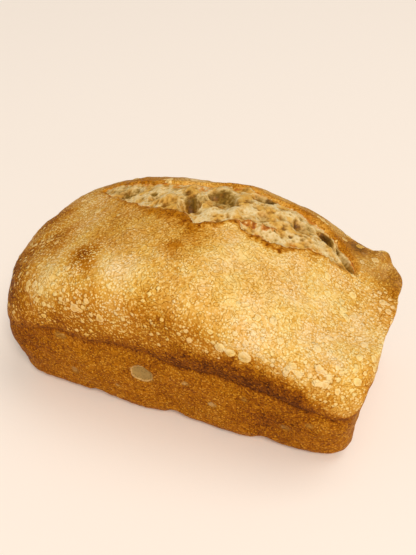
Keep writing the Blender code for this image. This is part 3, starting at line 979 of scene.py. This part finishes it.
def open_crumb():
    """Sourdough crumb torn open in the oven: moist cream, golden in places, its bubbles smooth. Painted
    shade darkens it in its bubbles, hollows and holes.
    """
    material, tree, shader = new_material("open sourdough crumb")
    place = add(tree, "TexCoord", {}).outputs["Object"]
    # The deep attribute carries the painted shade of the bubbles, hollows and holes
    deep = add(tree, "Attribute", {}, attribute_name="deep").outputs["Fac"]
    toast = add(tree, "Attribute", {}, attribute_name="toast").outputs["Fac"]
    pores = add(tree, "TexNoise", {"Vector": place, "Scale": 1 / PORE, "Detail": 3.0})
    spotted = add(
        tree, "MapRange",
        {"Value": pores.outputs[0], "From Min": 0.35, "From Max": 0.7, "To Min": -0.10, "To Max": 0.16},
    ).outputs[0]
    painted_shade_and_pores = add(tree, "Math", {0: deep, 1: spotted}, operation="ADD").outputs[0]
    crumb = add(tree, "ValToRGB", {"Fac": painted_shade_and_pores})
    spread_stops(crumb, CRUMB_COLOURS)

    # Some of it is golden, in patches of a centimetre
    patches = add(tree, "TexNoise", {"Vector": place, "Scale": 1 / GOLDEN_PATCH, "Detail": 2.0})
    golden = add(
        tree, "MapRange", {"Value": patches.outputs[0], "From Min": 0.42, "From Max": 0.62},
        interpolation_type="SMOOTHSTEP",
    ).outputs[0]
    tinted = add(
        tree, "Mix", {0: golden, 6: crumb.outputs[0], 7: linear(CRUMB_GOLD)},
        data_type="RGBA", blend_type="MULTIPLY",
    ).outputs[2]

    # Crags and edges caught the heat
    toasting = add(tree, "Math", {0: toast, 1: spotted}, operation="ADD").outputs[0]
    toasted = add(tree, "ValToRGB", {"Fac": toasting})
    spread_stops(toasted, TOAST_COLOURS)
    share = add(
        tree, "MapRange", {"Value": toasting, "From Min": 0.22, "From Max": 0.7},
        interpolation_type="SMOOTHSTEP",
    ).outputs[0]
    colour = add(tree, "Mix", {0: share, 6: tinted, 7: toasted.outputs[0]}, data_type="RGBA")
    tree.links.new(colour.outputs[2], shader.inputs["Base Color"])
    bump = add(tree, "Bump", {"Height": pores.outputs[0], "Strength": 0.3, "Distance": CRUMB_BUMP})
    tree.links.new(bump.outputs[0], shader.inputs["Normal"])
    shader.inputs["Roughness"].default_value = 0.52
    shader.inputs["IOR"].default_value = 1.4
    shader.inputs["Specular IOR Level"].default_value = 0.3
    shader.inputs["Subsurface Weight"].default_value = 0.15
    shader.inputs["Subsurface Radius"].default_value = (1.0, 0.8, 0.5)
    shader.inputs["Subsurface Scale"].default_value = 1.5 * MM
    return material


def placed(name, block, material):
    """Makes the mesh an object of the loaf that rides on its one body."""
    mesh = bpy.data.meshes.new(name)
    block.to_mesh(mesh)
    block.free()
    mesh.materials.append(material)
    mesh.shade_smooth()
    piece = bpy.data.objects.new(name, mesh)
    bpy.context.scene.collection.objects.link(piece)
    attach(piece, "root")
    return piece


def make_crust():
    block = gridded_block()
    shape_crust(block)
    crust = placed("crust", block, baked_crust())
    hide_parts("loaf")


def spread_bubbles():
    """(place in plan, radius, depth) in metres of the crumb's bubbles."""
    chance = random.Random(BUBBLE_SEED)
    found = []
    for count, least, most, share in BUBBLES:
        for _ in range(count):
            x = chance.uniform(*CRUMB_REACH)
            front, back = lips(x)
            y = chance.uniform(front, back) * MM
            radius = chance.uniform(least, most) * MM
            found.append((Vector((x, y, 0)), radius, radius * share))
    return found


def bubble_at(point, tree, bubbles, widest):
    """(depth of the crumb's bubbles, how far inside one from 0 to 1, which sets the painted shade there) at
    a point.
    """
    size, stray = BUBBLE_RAGGED
    asked = Vector((point.x, point.y, 0)) + noise.noise_vector(point / size) * stray
    deepest, inside = 0.0, 0.0
    for _, index, away in tree.find_range(asked, widest):
        _, radius, depth = bubbles[index]
        bowl = max(0.0, 1 - (away / radius) ** 2)
        if depth * bowl > deepest:
            deepest = depth * bowl
            inside = bowl * min(1.0, radius / FULLY_SHADED_BUBBLE)
    return deepest, inside


def hole_at(point):
    """(depth of the small holes, how much painted shade darkens the hollows and holes from 0 to 1) at a
    point.
    """
    depth, dark = 0.0, 0.0
    for (*place, _, turn), shade in zip(HOLLOWS, HOLLOW_PAINTED_SHADES):
        dark = max(dark, shade * hollow(point.x, point.y, *place, turn))
    for *place, deep, turn, shade in PITS:
        inside = hollow(point.x, point.y, *place, turn)
        depth = max(depth, deep * MM * inside)
        dark = max(dark, shade * inside)
    return depth, dark


def toasted_at(point, dark):
    front, back = lips(point.x)
    across = point.y / MM
    from_front, from_back = TOASTED_LIPS
    near_front = 1 - smooth_step((across - front) / from_front)
    near_back = 1 - smooth_step((back - across) / from_back)
    toasted = max(near_front, near_back) * (TOASTED_EVEN + unevenness(point, *TOASTED_BLOTCHES))
    for place, reach, share in TOASTED:
        crag = share * smooth_step(CRAG_FILL * mound(point, place, reach))
        toasted = max(toasted, crag * (CRAG_EVEN + unevenness(point, *CRAG_BLOTCHES)))
    return max(0.0, toasted * (1 - dark))


def make_crumb():
    """The torn crumb: a slab whose upper face is gridded between the two lips and pitted."""
    block = bmesh.new()
    bmesh.ops.create_grid(block, x_segments=CRUMB_COLUMNS, y_segments=CRUMB_ROWS, size=1)
    painted_shade_layer = block.verts.layers.float.new("deep")
    toast_layer = block.verts.layers.float.new("toast")
    start, end = CRUMB_REACH
    edges = []
    for vertex in block.verts:
        u, v = (vertex.co.x + 1) / 2, (vertex.co.y + 1) / 2
        x = start + (end - start) * u
        front, back = lips(x)
        low, high = front * MM - TUCK, back * MM + TUCK
        y = low + (high - low) * v
        edges.append(min(y - low, high - y, x - start, end - x))
        vertex.co = (x, y, dome_height(x, y))
    block.normal_update()
    bubbles = spread_bubbles()
    tree = near_tree([place for place, _, _ in bubbles])
    widest = max(radius for _, radius, _ in bubbles)
    outwards = []
    face, bubble_painted_shade, hole_painted_shade = CRUMB_PAINTED_SHADES
    for vertex, edge in zip(block.verts, edges):
        point = vertex.co
        bubble, inside = bubble_at(point, tree, bubbles, widest)
        pit, dark = hole_at(point)
        front, _ = lips(point.x)
        _, step, _ = tear(point.x, point.y)
        step *= smooth_step((point.y / MM - front) / CRUMB_EASE)
        out = broad_relief(point) + crumb_relief(point, step) + unevenness(point, *CRUMB_GRAIN)
        out -= bubble * (1 - dark) + pit
        out -= TUCK_DEPTH * (1 - smooth_step(edge / (TUCK_EASE * TUCK)))
        # Painted shade darkens the crumb in its bubbles, and more in its hollows and holes
        vertex[painted_shade_layer] = face + bubble_painted_shade * inside * (1 - dark) + hole_painted_shade * dark
        vertex[toast_layer] = toasted_at(point, dark)
        outwards.append(vertex.normal * out)
    for vertex, move in zip(block.verts, outwards):
        vertex.co += move
    backing = bmesh.ops.extrude_face_region(block, geom=list(block.faces))
    lowered = [item for item in backing["geom"] if isinstance(item, bmesh.types.BMVert)]
    bmesh.ops.translate(block, verts=lowered, vec=(0, 0, -CRUMB_BACKING))
    bmesh.ops.recalc_face_normals(block, faces=block.faces)
    placed("torn_crumb", block, open_crumb())


# The camera stands where the photograph was taken from, looking down at the loaf
CAMERA_PLACE = Vector((147.7, -369.4, 387.4)) * MM
CAMERA_YAW = math.radians(21.5)
CAMERA_PITCH = math.radians(38.62)
CAMERA_ROLL = math.radians(0.27)
SENSOR = 36.0
# The focal length and the longer side, both in pixels
LENS = SENSOR * 834 / 555


def aim_camera():
    camera = bpy.data.objects.new("camera", bpy.data.cameras.new("camera"))
    camera.data.sensor_width = SENSOR
    camera.data.lens = LENS
    camera.data.clip_start = 0.01
    turn = Matrix.Rotation(CAMERA_YAW, 4, "Z") @ Matrix.Rotation(math.pi / 2 - CAMERA_PITCH, 4, "X")
    camera.matrix_world = Matrix.Translation(CAMERA_PLACE) @ turn @ Matrix.Rotation(-CAMERA_ROLL, 4, "Z")
    bpy.context.scene.collection.objects.link(camera)
    bpy.context.scene.camera = camera


FLOOR_HALF = 3
FLOOR_COLOUR = "#fbf2ea"


def lay_floor():
    block = bmesh.new()
    bmesh.ops.create_grid(block, x_segments=1, y_segments=1, size=FLOOR_HALF)
    mesh = bpy.data.meshes.new("floor")
    block.to_mesh(mesh)
    block.free()
    material, _, shader = new_material("matt warm white paper")
    shader.inputs["Base Color"].default_value = linear(FLOOR_COLOUR)
    shader.inputs["Roughness"].default_value = 0.8
    mesh.materials.append(material)
    floor = bpy.data.objects.new("floor", mesh)
    bpy.context.scene.collection.objects.link(floor)


# (name, place in metres, width in metres, watts, colour), each aimed at the loaf's middle
LIGHTS = (
    ("key", (2.5, -3.8, 4.94), 2.2, 306.0, "#fff6ea"),
    ("overhead", (1.8, 1.0, 5.94), 4.0, 122.0, "#fffaf4"),
)
AIM = Vector((0, 0, 0.06))
SKY = "#f4efe8"
SKY_STRENGTH = 0.32


def light_studio():
    for name, place, width, power, colour in LIGHTS:
        lamp = bpy.data.lights.new(name, "AREA")
        lamp.size = width
        lamp.energy = power
        lamp.color = linear(colour)[:3]
        holder = bpy.data.objects.new(name, lamp)
        holder.location = place
        holder.rotation_euler = (AIM - Vector(place)).to_track_quat("-Z", "Y").to_euler()
        bpy.context.scene.collection.objects.link(holder)
    world = bpy.data.worlds.new("studio")
    world.use_nodes = True
    background = world.node_tree.nodes["Background"]
    background.inputs["Color"].default_value = linear(SKY)
    background.inputs["Strength"].default_value = SKY_STRENGTH
    bpy.context.scene.world = world
    bpy.context.scene.view_settings.view_transform = "Standard"


aim_camera()
make_crust()
make_crumb()
lay_floor()
light_studio()
